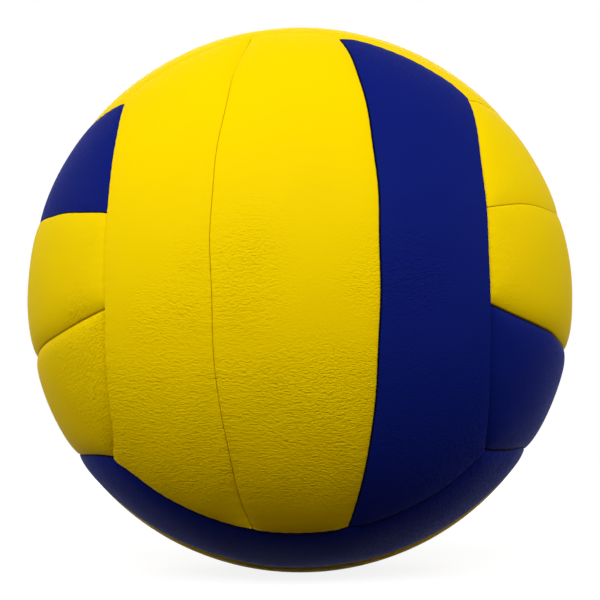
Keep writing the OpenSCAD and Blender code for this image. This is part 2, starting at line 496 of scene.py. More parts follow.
@dataclass(frozen=True)
class SeamlessPaper:
    """Matt white studio paper.

    To the eye it is white but for the ball's soft shadow. In other light it is dim, so that
    it throws little back up. The real fibres are finer than 0.1 mm, and are drawn at 1.5 mm
    to show.
    """

    name: str = "Matt white seamless paper"
    seen_colour: str = "#8A8A8A"
    dim_colour: str = "#54442F"
    fibre_mm: float = 1.5
    relief_mm: float = 0.02
    glow_levels: Levels = (0.12, 0.7, 0.86, 1.0)

    def build(self) -> Material:
        """Make the paper. Its glow grows with the distance from the middle of the floor.

        Returns:
            The material.
        """
        material = bpy.data.materials.new(self.name)
        add = empty_tree(material)
        pulp = {"Vector": solid_vector(add, self.fibre_mm), "Scale": 1.0, "Detail": 4.0}
        relief = {"Height": add("TexNoise", pulp)[0], "Distance": self.relief_mm * MM}
        seen = {"Color": linear_colour(self.seen_colour), "Normal": add("Bump", relief)[0]}
        distance = add("VectorMath", (add("TexCoord")["Object"],), operation="LENGTH")["Value"]
        strength = add("MapRange", (distance, *self.glow_levels), **SMOOTH)[0]
        glow = add("Emission", {"Color": linear_colour(WHITE), "Strength": strength})[0]
        bright = add("AddShader", (add("BsdfDiffuse", seen)[0], glow))[0]
        dim = add("BsdfDiffuse", {"Color": linear_colour(self.dim_colour)})[0]
        add("OutputMaterial", (add("MixShader", (seen_directly(add), dim, bright))[0],))
        return material


# Meshes


@dataclass
class Surface:
    """Points and faces of one piece, put together part by part, in the ball's frame."""

    points: list[Array] = field(default_factory=list)
    stored: dict[str, list[Array]] = field(default_factory=dict)
    blocks: list[tuple[Faces, bool, int]] = field(default_factory=list)

    def add_points(self, points: Array, **stored: Array) -> Faces:
        """Add points and the vectors stored on them.

        Args:
            points: Positions with any leading shape and 3 numbers last.
            **stored: Vectors of the same shape, by attribute name.

        Returns:
            The new points' numbers, in the leading shape.
        """
        start, count = sum(map(len, self.points)), points[..., 0].size
        self.points.append(points.reshape(count, 3))
        for name, values in stored.items():
            self.stored.setdefault(name, []).append(values.reshape(count, 3))
        return start + np.arange(count).reshape(points.shape[:-1])

    def add_faces(self, faces: Faces, flat: bool = False, slot: int = 0) -> None:
        """Add rows of corner numbers, with hard edges if flat, in a material slot."""
        self.blocks.append((faces, flat, slot))

    def add_grid(
        self, numbers: Faces, keep: Mask | None = None, inwards: bool = False, slot: int = 0
    ) -> None:
        """Add the four-cornered faces of a grid of points.

        Args:
            numbers: Point numbers, a row for each step across.
            keep: Which of the grid's cells to make, or None for all.
            inwards: True for faces that point the other way.
            slot: Number of the faces' material slot.
        """
        corners = [numbers[:-1, :-1], numbers[1:, :-1], numbers[1:, 1:], numbers[:-1, 1:]]
        cells = np.stack(corners[::-1] if inwards else corners, axis=-1)
        self.add_faces(cells.reshape(-1, 4) if keep is None else cells[keep], slot=slot)

    def add_band(self, fine: Faces, coarse: Faces, inwards: bool = False, **options: Any) -> None:
        """Join two closed rings of points with a band of faces.

        Each face takes one step of the coarse ring and as many steps of the fine ring as
        the fine ring has for each coarse one.

        Args:
            fine: Point numbers of the ring with more points, or as many.
            coarse: Point numbers of the other ring.
            inwards: True for faces that point the other way.
            **options: Hard edges and slot of the faces.
        """
        ratio = len(fine) // len(coarse)
        starts = np.arange(len(coarse)) * ratio
        chain = fine[(starts[:, None] + np.arange(ratio, -1, -1)) % len(fine)]
        band = np.concatenate([coarse[:, None], np.roll(coarse, -1)[:, None], chain], axis=1)
        self.add_faces(band[:, ::-1] if inwards else band, **options)

    def make_object(self, name: str, materials: list[Material], mirrored: bool = False) -> Piece:
        """Put the surface, without its unused points, into an object at the origin.

        Args:
            name: Name of the piece.
            materials: Materials of its slots.
            mirrored: True if the points were mirrored, so that the faces have to be turned.

        Returns:
            The new object, linked to the scene.
        """
        points = np.concatenate(self.points)
        used = np.zeros(len(points), bool)
        for faces, _, _ in self.blocks:
            used[faces.ravel()] = True
        renumbered = np.cumsum(used) - 1
        corners = [renumbered[f[:, ::-1] if mirrored else f].tolist() for f, _, _ in self.blocks]
        rows = [row for block in corners for row in block]
        mesh = bpy.data.meshes.new(name)
        mesh.from_pydata((points[used] * MM).tolist(), [], rows)
        sizes = [len(block) for block in corners]
        smooth = np.repeat([not flat for _, flat, _ in self.blocks], sizes)
        slots = np.repeat([slot for _, _, slot in self.blocks], sizes)
        mesh.polygons.foreach_set("use_smooth", smooth)
        mesh.polygons.foreach_set("material_index", slots.astype(np.int32))
        for attribute, blocks in self.stored.items():
            layer = mesh.attributes.new(attribute, "FLOAT_VECTOR", "POINT")
            values = np.concatenate(blocks)[used].astype(np.float32)
            layer.data.foreach_set("vector", values.ravel())
        for material in materials:
            mesh.materials.append(material)
        mesh.update()
        made = bpy.data.objects.new(name, mesh)
        bpy.context.scene.collection.objects.link(made)
        return made


def grid_edge(grid: NDArray) -> NDArray:
    """Take the entries once round the edge of a grid, anticlockwise."""
    return np.concatenate([grid[:-1, 0], grid[-1, :-1], grid[:0:-1, -1], grid[0, :0:-1]])


def middle_block(shape: tuple[int, ...], reach: tuple[int, int], points: bool) -> tuple[slice, ...]:
    """Slice a grid's cells, or its points, up to some steps either way of its middle."""
    return tuple(slice(n // 2 - r, n // 2 + r + points) for n, r in zip(shape, reach))


def cells_outside(shape: tuple[int, ...], reach: tuple[int, int]) -> Mask:
    """Choose the cells of a grid of points outside the block round its middle.

    Args:
        shape: Numbers of points.
        reach: Steps from the middle to the block's edges, 0 for no block.

    Returns:
        True for each cell outside.
    """
    keep = np.ones([n - 1 for n in shape], bool)
    keep[middle_block(shape, reach, False)] = False
    return keep


def rolled(distance: Array, radius: Array | float) -> Array:
    """Drop by a quarter circle of the radius over the last stretch before an edge."""
    return radius * (1 - np.sqrt(1 - (1 - np.clip(distance / radius, 0, 1)) ** 2))


# The ball's strips


class Group(Enum):
    """Group of three strips, named by the side of the ball that it covers."""

    FRONT = "front"
    BACK = "back"
    LEFT = "left"
    RIGHT = "right"
    TOP = "top"
    BOTTOM = "bottom"

    @property
    def strips(self) -> "list[Strip]":
        """The group's three strips."""
        return [strip for strip in STRIPS if strip.group is self]

    def turn(self) -> Array:
        """Work out the turn from the front group's place to this group's.

        A third of a turn about the ball's diagonal sends X to Y, Y to Z and Z to X, and half
        turns give the opposite groups.

        Returns:
            Rotation matrix of 3 rows.
        """
        third = np.array([[0.0, 0, 1], [1, 0, 0], [0, 1, 0]])
        half_about_z, half_about_x = np.diag([-1.0, -1, 1]), np.diag([1.0, -1, -1])
        return {
            Group.FRONT: np.eye(3),
            Group.BACK: half_about_z,
            Group.LEFT: third @ third,
            Group.RIGHT: half_about_z @ third @ third,
            Group.TOP: half_about_x @ third,
            Group.BOTTOM: third,
        }[self]


class Leather(Enum):
    """Colour of a strip's cover."""

    YELLOW = "yellow_leather"
    BLUE = "blue_leather"


@dataclass(frozen=True)
class Strip:
    """One strip: its group, its place there and the leather that covers it.

    Side 1 lies on +X in the front group's frame, 0 is the middle strip, and -1 is the mirror
    image of side 1. Creased tells how strongly its zone of creases shows.
    """

    name: str
    group: Group
    side: int
    leather: Leather = Leather.YELLOW
    creased: float = 1.0

    @property
    def mirrored(self) -> bool:
        """True for a mirror image of side 1, whose faces have to be turned."""
        return self.side < 0

    @property
    def has_valve(self) -> bool:
        """True for the strip that the valve comes out of."""
        return self.group is Group.TOP and self.side == 0

    def to_ball(self, points: Array) -> Array:
        """Turn points or directions of the front group's frame into this strip's place."""
        mirror = np.array([-1.0 if self.mirrored else 1.0, 1.0, 1.0])
        return (points * mirror) @ self.group.turn().T


STRIPS = [
    Strip("front_left", Group.FRONT, -1),
    Strip("front_middle", Group.FRONT, 0, creased=1.1),
    Strip("front_right", Group.FRONT, 1, Leather.BLUE),
    Strip("back_left", Group.BACK, 1, Leather.BLUE),
    Strip("back_middle", Group.BACK, 0),
    Strip("back_right", Group.BACK, -1),
    Strip("left_upper", Group.LEFT, 1, Leather.BLUE, 0.4),
    Strip("left_middle", Group.LEFT, 0, creased=0.25),
    Strip("left_lower", Group.LEFT, -1, creased=1.4),
    Strip("right_upper", Group.RIGHT, 1, creased=0.25),
    Strip("right_middle", Group.RIGHT, 0, creased=0.4),
    Strip("right_lower", Group.RIGHT, -1, Leather.BLUE, 0.4),
    Strip("top_front", Group.TOP, 1, creased=0.0),
    Strip("top_middle", Group.TOP, 0),
    Strip("top_back", Group.TOP, -1, Leather.BLUE),
    Strip("bottom_front", Group.BOTTOM, -1, Leather.BLUE),
    Strip("bottom_middle", Group.BOTTOM, 0),
    Strip("bottom_back", Group.BOTTOM, 1),
]


@dataclass(frozen=True)
class BallSizes:
    """Sizes of the ball's layers, in millimetres and degrees."""

    ball_r: float = 105.0
    inner_seam_angle: float = 14.2
    leather_t: float = 1.3
    foam_t: float = 3.0
    lining_t: float = 1.0
    glue_gap: float = 0.1
    thread_d: float = 0.5
    thread_gap: float = 0.1
    seam_allowance: float = 1.8
    bladder_t: float = 0.6
    bladder_gap: float = 0.2

    @property
    def foam_out_r(self) -> float:
        """Radius of the foam's outer face."""
        return self.ball_r - self.leather_t - self.glue_gap

    @property
    def lining_out_r(self) -> float:
        """Radius of the lining's outer face."""
        return self.foam_out_r - self.foam_t - self.glue_gap

    @property
    def edge_r(self) -> float:
        """Radius at which the turned-in leather ends."""
        return self.lining_out_r - self.lining_t

    @property
    def stitch_r(self) -> float:
        """Radius of the stitch lines."""
        return self.edge_r + self.seam_allowance

    @property
    def bladder_r(self) -> float:
        """Outer radius of the bladder."""
        return self.edge_r - self.bladder_gap

    @property
    def backing_inset(self) -> float:
        """Distance from the seam wall at which the foam and the lining end."""
        return self.leather_t + self.thread_d + 2 * self.thread_gap

    @property
    def thread_inset(self) -> float:
        """Distance of the thread's middle from the seam wall."""
        return self.leather_t + self.thread_gap + self.thread_d / 2


@dataclass(frozen=True)
class Spacing:
    """Steps from one edge of a strip to the other: close together in the rolled edges.

    A step's place as a share of the width is a fixed share plus a length over the width.
    """

    edge: tuple[float, ...]
    middle_steps: int

    def place(self, width: Array, axis: int) -> Array:
        """Place the steps.

        Args:
            width: Width of the strip in millimetres at each point of a grid.
            axis: The grid's axis along which the steps run.

        Returns:
            Shares of the width from 0 to 1, in the grid's shape.
        """
        edge = np.array(self.edge)
        inner = np.linspace(0, 1, self.middle_steps + 1)
        fixed = np.concatenate([np.zeros(len(edge) - 1), inner, np.ones(len(edge) - 1)])
        length = np.concatenate([edge[:-1], edge[-1] * (1 - 2 * inner), -edge[-2::-1]])
        shape = [1, 1]
        shape[axis] = len(fixed)
        return fixed.reshape(shape) + length.reshape(shape) / width

    @property
    def count(self) -> int:
        """Number of steps' ends."""
        return 2 * len(self.edge) - 1 + self.middle_steps


def edge_steps(
    roll_r: float, roll_steps: int, first: float, growth: float, steps: int
) -> tuple[float, ...]:
    """Space steps over a rolled edge and the slope beyond it.

    Over the roll the steps are equal angles of its arc. Beyond it each is longer than the
    one before.

    Args:
        roll_r: Radius of the roll.
        roll_steps: Steps over the roll.
        first: Length of the first step beyond it.
        growth: How much longer each step is than the one before.
        steps: Steps beyond the roll.

    Returns:
        Distances from the edge.
    """
    roll = roll_r * (1 - np.cos(np.linspace(0, QUARTER_TURN, roll_steps + 1)))
    beyond = roll_r + np.cumsum(first * growth ** np.arange(steps))
    return tuple(np.concatenate([roll, beyond]).tolist())


@dataclass(frozen=True)
class SeamForm:
    """Form of a cover's edge: how far the padding falls towards the seam, and its roll.

    A swell can add to the fall near the strip's ends. The corner's radius is that of a
    strip's end. The front and the back group stand proud of their neighbours, and their own
    seams are tight. In the other groups the strips are softer and their edges lie lower.
    """

    fall: float
    reach: float
    roll_r: float
    end_swell: float = 0.0
    end_swell_reach: float = 16.0
    corner_r: float = 0.7

    def sink(self, distance: Array, end: Array) -> Array:
        """Work out how far a layer sinks towards the seam.

        It is an exponential of the distance from the seam. Its height is the fall, and near
        the strip's end the swell adds to it, most at the swell's reach from the end.

        Args:
            distance: Distance from the seam.
            end: Distance from the nearer end of the strip.

        Returns:
            Depths in millimetres.
        """
        share = np.maximum(end, 0) / self.end_swell_reach
        height = self.fall + self.end_swell * share * np.exp(1 - share)
        return height * np.exp(-distance / self.reach)


TIGHT_SEAM = SeamForm(0.36, 2.6, 0.4, end_swell=1.1)
SWELLING_SEAM = SeamForm(0.36, 3.8, 0.4, end_swell=1.4)
ROUND_SEAM = SeamForm(1.0, 3.2, 0.45, end_swell=0.3)
SLACK_SEAM = SeamForm(1.9, 3.6, 0.5)
GENTLE_SEAM = SeamForm(0.75, 3.6, 0.4)
CRISP_SEAM = SeamForm(1.6, 2.5, 0.45)
FIRM_SEAM = SeamForm(0.5, 2.6, 0.4)
PROUD_SIDE = SeamForm(0.25, 2.6, 0.4)
PROUD_END = SeamForm(0.2, 3.0, 0.4, corner_r=0.4)
LOW_EDGE = SeamForm(1.25, 3.6, 0.55)
LOWEST_EDGE = SeamForm(2.2, 3.3, 0.6)
FLAT_EDGE = SeamForm(0.35, 3.0, 0.4)


def crisp_forms(end: SeamForm) -> dict[int, Forms]:
    """Give a group crisp seams within it, low outer sides and the given ends."""
    side = (CRISP_SEAM, LOW_EDGE, end)
    return {-1: side, 0: (CRISP_SEAM, CRISP_SEAM, end), 1: side}


PROUD_FORMS = {
    -1: (SWELLING_SEAM, PROUD_SIDE, PROUD_END),
    0: (TIGHT_SEAM, ROUND_SEAM, PROUD_END),
    1: (ROUND_SEAM, PROUD_SIDE, PROUD_END),
}
FLANK_FORMS = {
    -1: (CRISP_SEAM, LOW_EDGE, LOWEST_EDGE),
    0: (SLACK_SEAM, FIRM_SEAM, LOW_EDGE),
    1: (GENTLE_SEAM, FLAT_EDGE, LOW_EDGE),
}
SEAM_FORMS = {
    Group.FRONT: PROUD_FORMS,
    Group.BACK: PROUD_FORMS,
    Group.LEFT: FLANK_FORMS,
    Group.RIGHT: FLANK_FORMS,
    Group.TOP: crisp_forms(FLAT_EDGE),
    Group.BOTTOM: crisp_forms(LOW_EDGE),
}


def sunk(distances: list[Array], forms: Forms) -> Array:
    """Work out how far a layer sinks towards all of its seams.

    The depths are joined by the fourth root of the sum of their fourth powers, so that a
    corner lies little deeper than the seams that meet there.

    Args:
        distances: Distances from the left side, the right side and the nearer end.
        forms: Forms of these three seams.

    Returns:
        Depths in millimetres.
    """
    depths = [form.sink(distance, distances[2]) for distance, form in zip(distances, forms)]
    return sum(depth**4 for depth in depths) ** 0.25


@dataclass(frozen=True)
class StripPlan:
    """Outline of a strip on a sphere, in the front group's frame.

    Each edge is a circle about an axis in the XY plane: its bearing, and the angle between
    axis and circle. Both ends of the strip lie on one circle about -Y.
    """

    strip: Strip
    sizes: BallSizes
    rounds: int = 48
    first_latitude: float = 0.7

    @property
    def walls(self) -> tuple[Wall, Wall, Wall]:
        """Bearing and angle of the -X side, the +X side and the ends.

        Returns:
            The three circles.
        """
        seam, ends = math.radians(self.sizes.inner_seam_angle), (-QUARTER_TURN, GROUP_ANGLE)
        if self.strip.side == 0:
            return (-seam, QUARTER_TURN), (math.pi + seam, QUARTER_TURN), ends
        return (seam, QUARTER_TURN), (math.pi, math.pi - GROUP_ANGLE), ends

    @property
    def forms(self) -> Forms:
        """Forms of the left and the right side and of the ends."""
        return SEAM_FORMS[self.strip.group][self.strip.side]

    def seam_distances(self, directions: Array) -> list[Array]:
        """Measure along the sphere from the seams to points inside them.

        A distance is the ball's radius times the edge's angle less the point's angle from
        the edge's axis.

        Args:
            directions: Unit vectors.

        Returns:
            Distances from the left side, the right side and the nearer end.
        """
        distances = []
        for bearing, angle in self.walls:
            along_x = directions[..., 0] * math.cos(bearing)
            along_y = directions[..., 1] * math.sin(bearing)
            from_axis = np.arccos(np.clip(along_x + along_y, -1, 1))
            distances.append(self.sizes.ball_r * (angle - from_axis))
        return distances

    def directions(
        self, radius: float, inset: float, across: Spacing, along: Spacing
    ) -> tuple[Array, Array]:
        """Lay a grid between the strip's four edges.

        A point's bearing lies between the bearings of the two sides at its latitude, and its
        latitude between those of the two ends at its bearing. The two are worked out in
        turn, half a step at a time, until both hold.

        Args:
            radius: Radius of the sphere, for the inset.
            inset: Distance by which all edges are drawn in.
            across: Steps from side to side.
            along: Steps from end to end.

        Returns:
            Unit vectors, and positions laid flat in millimetres: across and along.
        """
        turn = math.asin(inset / radius)
        (left, left_angle), (right, right_angle), (_, end_angle) = self.walls
        latitudes = np.linspace(-self.first_latitude, self.first_latitude, along.count)
        latitude = np.broadcast_to(latitudes, (across.count, along.count))
        for _ in range(self.rounds):
            start = left + np.arcsin(math.cos(left_angle - turn) / np.cos(latitude))
            stop = right - math.pi - np.arcsin(math.cos(right_angle - turn) / np.cos(latitude))
            width = radius * np.cos(latitude) * (stop - start)
            bearing = start + across.place(width, 0) * (stop - start)
            end = np.arccos(math.cos(end_angle - turn) / np.cos(bearing))
            latitude = (latitude + (2 * along.place(2 * radius * end, 1) - 1) * end) / 2
        level = np.cos(latitude)
        directions = [level * np.sin(bearing), -level * np.cos(bearing), np.sin(latitude)]
        laid_flat = radius * np.stack([bearing * level, latitude], axis=-1)
        return np.stack(directions, axis=-1), laid_flat


def valve_ring(distance: Array, angle: Array, radius: float) -> tuple[Array, Array]:
    """Place a ring round the valve, which stands on -Y in the strip's own frame.

    A point's angle from -Y is its distance over the sphere's radius.

    Args:
        distance: Distances from the valve's axis along the sphere.
        angle: Angles about the axis.
        radius: Radius of the sphere.

    Returns:
        Unit vectors, and positions laid flat: across and along.
    """
    tilt = distance / radius
    around = [np.sin(tilt) * np.cos(angle), -np.cos(tilt), np.sin(tilt) * np.sin(angle)]
    laid_flat = distance[:, None] * np.stack([np.cos(angle), np.sin(angle)], axis=-1)
    return np.stack(around, axis=-1), laid_flat


@dataclass(frozen=True)
class Pull:
    """Place where a panel was pulled sideways in sewing, with the move and its reach in mm."""

    direction: Direction
    move: Direction
    reach: float


@dataclass(frozen=True)
class Handwork:
    """Small departures of a sewn ball from the exact plan, shared by all of its layers.

    A few waves bend the seams sideways, and pulls move single places: each is its move times
    a bell curve of the distance. Round the valve nothing moves.
    """

    wave_height: float = 0.16
    wave_lengths: tuple[float, ...] = (31.0, 47.0, 73.0)
    wave_phase: float = 1.7
    wave_lean: float = 0.02
    pulls: tuple[Pull, ...] = (
        Pull((0.0, -0.577, -0.816), (0.0, 1.3, -0.9), 32.0),
        Pull((-0.468, -0.577, -0.669), (0.0, 1.5, -1.1), 32.0),
        Pull((0.468, -0.577, -0.669), (0.0, 1.3, -0.9), 32.0),
        Pull((1.0, -1.0, 1.0), (0.1, 0.75, 0.65), 13.0),
        Pull((1.0, -1.0, 1.0), (-0.6, -1.4, -0.8), 6.5),
        Pull((-1.0, -1.0, 1.0), (0.6, 0.0, 1.2), 9.0),
        Pull((0.8, -0.35, -0.47), (0.0, 0.0, 2.0), 14.0),
        Pull((-1.0, -1.0, -1.0), (-1.6, 1.9, -0.4), 5.5),
        Pull((-0.63, -0.625, 0.46), (1.0, -0.8, 0.0), 13.0),
        Pull((-0.57, -0.77, 0.29), (0.7, -0.4, 0.0), 20.0),
        Pull((0.19, -0.71, 0.68), (0.8, 0.0, 0.0), 20.0),
        Pull((0.2, -0.76, -0.61), (0.9, 0.0, 0.0), 20.0),
        Pull((0.24, -0.97, -0.04), (-0.55, 0.0, 0.0), 30.0),
        Pull((-0.75, -0.63, 0.19), (0.0, 0.0, 0.6), 10.0),
        Pull((0.84, -0.5, -0.21), (0.0, 0.0, 0.8), 9.0),
        Pull((0.35, -0.62, 0.71), (0.0, -0.9, -0.9), 22.0),
        Pull((0.71, -0.69, 0.17), (0.0, 0.0, 1.2), 16.0),
        Pull((-0.22, -0.88, -0.43), (-1.1, 0.0, 0.0), 18.0),
        Pull((-0.17, -0.68, -0.72), (-1.3, 0.0, 0.0), 16.0),
        Pull((-0.2, -0.86, 0.48), (0.5, 0.0, 0.0), 20.0),
    )
    still_r: float = 22.0

    def bend(self, points: Array) -> Array:
        """Move points sideways on their spheres.

        Args:
            points: Positions on the ball.

        Returns:
            The moved positions.
        """
        radius = np.linalg.norm(points, axis=-1, keepdims=True)
        move = np.zeros_like(points)
        for number, length in enumerate(self.wave_lengths):
            across, other = (np.roll(points, number + step, axis=-1) for step in (1, 2))
            phase = math.tau * across / length + self.wave_phase * number + self.wave_lean * other
            move += self.wave_height * np.sin(phase)
        for pull in self.pulls:
            direction = np.array(pull.direction) / np.linalg.norm(pull.direction)
            distance = np.linalg.norm(points / radius - direction, axis=-1, keepdims=True) * radius
            move += np.exp(-((distance / pull.reach) ** 2)) * np.array(pull.move)
        valve_distance = np.hypot(points[..., 0:1], points[..., 1:2])
        move *= 1 - (points[..., 2:3] > 0) * np.exp(-((valve_distance / self.still_r) ** 2))
        moved = points + move - (move * points).sum(-1, keepdims=True) * points / radius**2
        return moved * radius / np.linalg.norm(moved, axis=-1, keepdims=True)


@dataclass(frozen=True)
class ValveHole:
    """Round hole for the valve in the leather of the top middle strip."""

    hole_r: float = 5.0
    lip_r: float = 0.55
    dip: float = 0.25
    dip_reach: float = 2.0
    block_steps: int = 10
    ring_steps: int = 7
    lip_steps: int = 5

    def drop(self, distance: Array) -> Array:
        """Roll the leather over into the hole by a quarter circle, after an exponential dip."""
        beyond = np.maximum(distance - self.hole_r, 0)
        return rolled(beyond, self.lip_r) + self.dip * np.exp(-beyond / self.dip_reach)


@dataclass(frozen=True)
class CreasePatch:
    """Patch of creased leather: its direction on the ball, reach in mm and strength."""

    direction: Direction
    reach: float
    strength: float


COVER_EDGE = edge_steps(roll_r=0.8, roll_steps=6, first=0.25, growth=1.27, steps=6)
SLAB_EDGE = (0.0, 0.07, 0.24, 0.5, 1.6)


@dataclass
class CoverPanels:
    """The 18 leather covers.

    Each is a closed shell: the curved face, four edges that roll over and turn in, and the
    napped underside. Zones of creases run from a first to a last place along a group's
    strips. Sizes are in millimetres.
    """

    sizes: BallSizes
    handwork: Handwork
    corner_slope: float = 1.0
    deepest: float = 2.9
    pucker_height: float = 0.05
    pucker_pitch: float = 4.4
    pucker_reach: float = 2.6
    pucker_drift: float = 1.3
    drift_lengths: tuple[float, float] = (7.0, 9.0)
    swell_height: float = 0.05
    swell_lengths: tuple[float, float] = (4.1, 6.3)
    # Reach of the painted seam shade, and how it grows with the seam's fall.
    shade_reach: float = 0.06
    shade_per_fall: float = 0.5
    across: Spacing = Spacing(COVER_EDGE, 46)
    along: Spacing = Spacing(COVER_EDGE, 166)
    wall_steps: int = 3
    coarse_ratio: int = 5
    underside_inset: float = 1.0
    hole: ValveHole = ValveHole()
    pattern_shift: tuple[float, float] = (137.0, 54.8)
    bend_heights: tuple[float, float] = (1.7, 0.9)
    bend_lengths: tuple[float, float] = (12.5, 7.3)
    bend_lean: float = 0.09
    crease_zones: dict[Group, tuple[float, float]] = field(
        default_factory=lambda: {
            Group.FRONT: (-84.0, -29.5),
            Group.BACK: (24.0, 80.0),
            Group.LEFT: (-112.0, -58.0),
            Group.RIGHT: (70.0, 104.0),
            Group.TOP: (-74.0, -20.0),
            Group.BOTTOM: (18.0, 80.0),
        }
    )
    crease_fade: float = 18.0
    crease_slant: float = 0.6
    crease_patches: tuple[CreasePatch, ...] = (
        CreasePatch((-0.155, -0.987, -0.02), 12.5, 1.35),
        CreasePatch((-0.158, -0.975, -0.154), 13.0, 1.4),
        CreasePatch((-0.286, -0.958, -0.034), 9.0, 0.9),
        CreasePatch((-0.409, -0.892, -0.195), 12.0, 1.0),
        CreasePatch((-0.332, -0.927, -0.173), 11.0, 1.1),
        CreasePatch((0.192, -0.975, -0.108), 9.0, 0.8),
        CreasePatch((0.35, -0.93, -0.09), 15.0, 2.2),
        CreasePatch((-0.683, -0.714, -0.151), 9.0, 1.5),
        CreasePatch((-0.628, -0.775, 0.07), 7.0, 0.8),
    )

    def drop(self, distances: list[Array], forms: Forms, laid_flat: Array) -> Array:
        """Work out how far the face lies below the ball's sphere.

        The padded leather falls away exponentially towards each seam, and over the last
        part it follows a quarter circle down to the seam's wall. The circle's radius is the
        mean of the three seams' rolls, weighed by how near they are. Where a side and an end
        meet, the distance is that from a rounded corner. Small puckers run along the seams.
        Each is a sine whose phase drifts. A low swell is a sine across times one along.

        Args:
            distances: Distances from the left side, the right side and the nearer end.
            forms: Forms of these three seams.
            laid_flat: Positions across and along the strip.

        Returns:
            Depths in millimetres.
        """
        weights = [np.exp(-distance / form.roll_r) for distance, form in zip(distances, forms)]
        roll_r = sum(w * form.roll_r for w, form in zip(weights, forms)) / sum(weights)
        side, end = np.minimum(distances[0], distances[1]), distances[2]
        corner_r = forms[2].corner_r
        in_corner = (side < corner_r) & (end < corner_r)
        rounded = corner_r - np.hypot(corner_r - side, corner_r - end)
        gap = np.where(in_corner, rounded, np.minimum(side, end))
        pit = self.corner_slope * np.maximum(-gap, 0)
        phase = math.tau * laid_flat / self.pucker_pitch
        phase += self.pucker_drift * np.sin(laid_flat / self.drift_lengths)
        nearness = np.exp(-np.stack([end, side], axis=-1) / self.pucker_reach)
        pucker = self.pucker_height * (np.sin(phase) * nearness).sum(-1)
        swell = self.swell_height * np.sin(laid_flat / self.swell_lengths).prod(-1)
        depth = sunk(distances, forms) + rolled(gap, roll_r) + pit + pucker + swell
        return np.minimum(depth, self.deepest)

    def crease_shade(self, distances: list[Array], forms: Forms) -> Array:
        """Work out the painted shade in the seams: full at a seam, and none beyond its reach.

        The reach grows with the seam's fall.

        Args:
            distances: Distances from the left side, the right side and the nearer end.
            forms: Forms of these three seams.

        Returns:
            Shares from 0 to 1.
        """
        reaches = [self.shade_reach + self.shade_per_fall * form.fall for form in forms]
        shades = [1 - distance / reach for distance, reach in zip(distances, reaches)]
        return np.clip(np.maximum.reduce(shades), 0, 1)

    def creased(self, strip: Strip, directions: Array, along: Array) -> Array:
        """Work out how strongly the leather is creased.

        The creases fill a zone along the strip with soft ends, and patches whose strength is
        a bell curve of the distance.

        Args:
            strip: The strip.
            directions: Unit vectors in the front group's frame.
            along: Positions along the strip.

        Returns:
            Shares from 0 for smooth to 1 for creased, and above 1 for deeper creases.
        """
        first, last = self.crease_zones[strip.group]
        inside = np.minimum(along - first, last - along) / self.crease_fade + 0.5
        share = strip.creased * np.clip(inside, 0, 1)
        on_ball = strip.to_ball(directions)
        for patch in self.crease_patches:
            away = np.linalg.norm(on_ball - np.array(patch.direction), axis=-1)
            distance = self.sizes.ball_r * away
            share = np.maximum(share, patch.strength * np.exp(-((distance / patch.reach) ** 2)))
        return share

    def put(
        self,
        surface: Surface,
        plan: StripPlan,
        directions: Array,
        radius: Array | float,
        flat: Array,
    ) -> Faces:
        """Add points of a strip, with what the leather's material reads from them.

        Creases run across the strips, but along them on the left and the right of the ball.
        They are bent by a sine of the place across, and by one of the place both ways.

        Args:
            surface: Surface of the cover.
            plan: Plan of its strip, whose number shifts the pattern.
            directions: Unit vectors in the front group's frame.
            radius: Distances from the ball's middle.
            flat: Positions across and along the strip.

        Returns:
            The points' numbers.
        """
        strip = plan.strip
        number = STRIPS.index(strip)
        radius = np.broadcast_to(radius, directions.shape[:-1])
        shade = self.crease_shade(plan.seam_distances(directions), plan.forms)
        creased = self.creased(strip, directions, flat[..., 1])
        across, along = flat[..., 0], flat[..., 1]
        if strip.group in (Group.LEFT, Group.RIGHT):
            slant = math.copysign(self.crease_slant, strip.side + 0.5)
            across, along = along, across + slant * along
        (long, short), (high, low) = self.bend_lengths, self.bend_heights
        bent = high * np.sin(across / long) + low * np.sin(across / short + self.bend_lean * along)
        shift_across, shift_along = self.pattern_shift
        place = [across + shift_across * number, along + bent + shift_along * number]
        stored = {
            STRIP_ATTRIBUTE: np.stack([*place, self.sizes.ball_r - radius], axis=-1),
            # Crease strength, and the share of painted shade at the seams.
            SEAM_ATTRIBUTE: np.stack([creased, shade, np.zeros_like(shade)], axis=-1),
        }
        points = self.handwork.bend(strip.to_ball(directions * radius[..., None]))
        return surface.add_points(points, **stored)

    def build(self, strip: Strip, materials: list[Material]) -> Piece:
        """Make one cover.

        Args:
            strip: The strip to cover.
            materials: Face and back of the leather.

        Returns:
            The cover.
        """
        sizes, plan, surface = self.sizes, StripPlan(strip, self.sizes), Surface()
        put = partial(self.put, surface, plan)
        reach = self.hole.block_steps if strip.has_valve else 0
        directions, laid_flat = plan.directions(sizes.ball_r, 0.0, self.across, self.along)
        drop = self.drop(plan.seam_distances(directions), plan.forms, laid_flat)
        if strip.has_valve:
            drop += self.hole.drop(sizes.ball_r * np.arccos(np.clip(-directions[..., 1], -1, 1)))
        face = put(directions, sizes.ball_r - drop, laid_flat)
        surface.add_grid(face, cells_outside(face.shape, (reach, reach)))

        ring, rim_r = grid_edge(face), sizes.ball_r - grid_edge(drop)
        for share in np.linspace(0, 1, self.wall_steps + 1)[1:]:
            wall_r = rim_r + (sizes.edge_r - rim_r) * share
            lower = put(grid_edge(directions), wall_r, grid_edge(laid_flat))
            surface.add_band(ring, lower)
            ring = lower

        inner_grids = plan.directions(sizes.edge_r, sizes.leather_t, self.across, self.along)
        inner, inner_flat = (grid_edge(grid) for grid in inner_grids)
        distances = [np.maximum(distance, 0) for distance in plan.seam_distances(inner)]
        under_r = sizes.ball_r - sizes.leather_t - sunk(distances, plan.forms)
        for inner_r in (sizes.edge_r, under_r):
            upper = put(inner, inner_r, inner_flat)
            surface.add_band(ring, upper, flat=True, slot=1)
            ring = upper

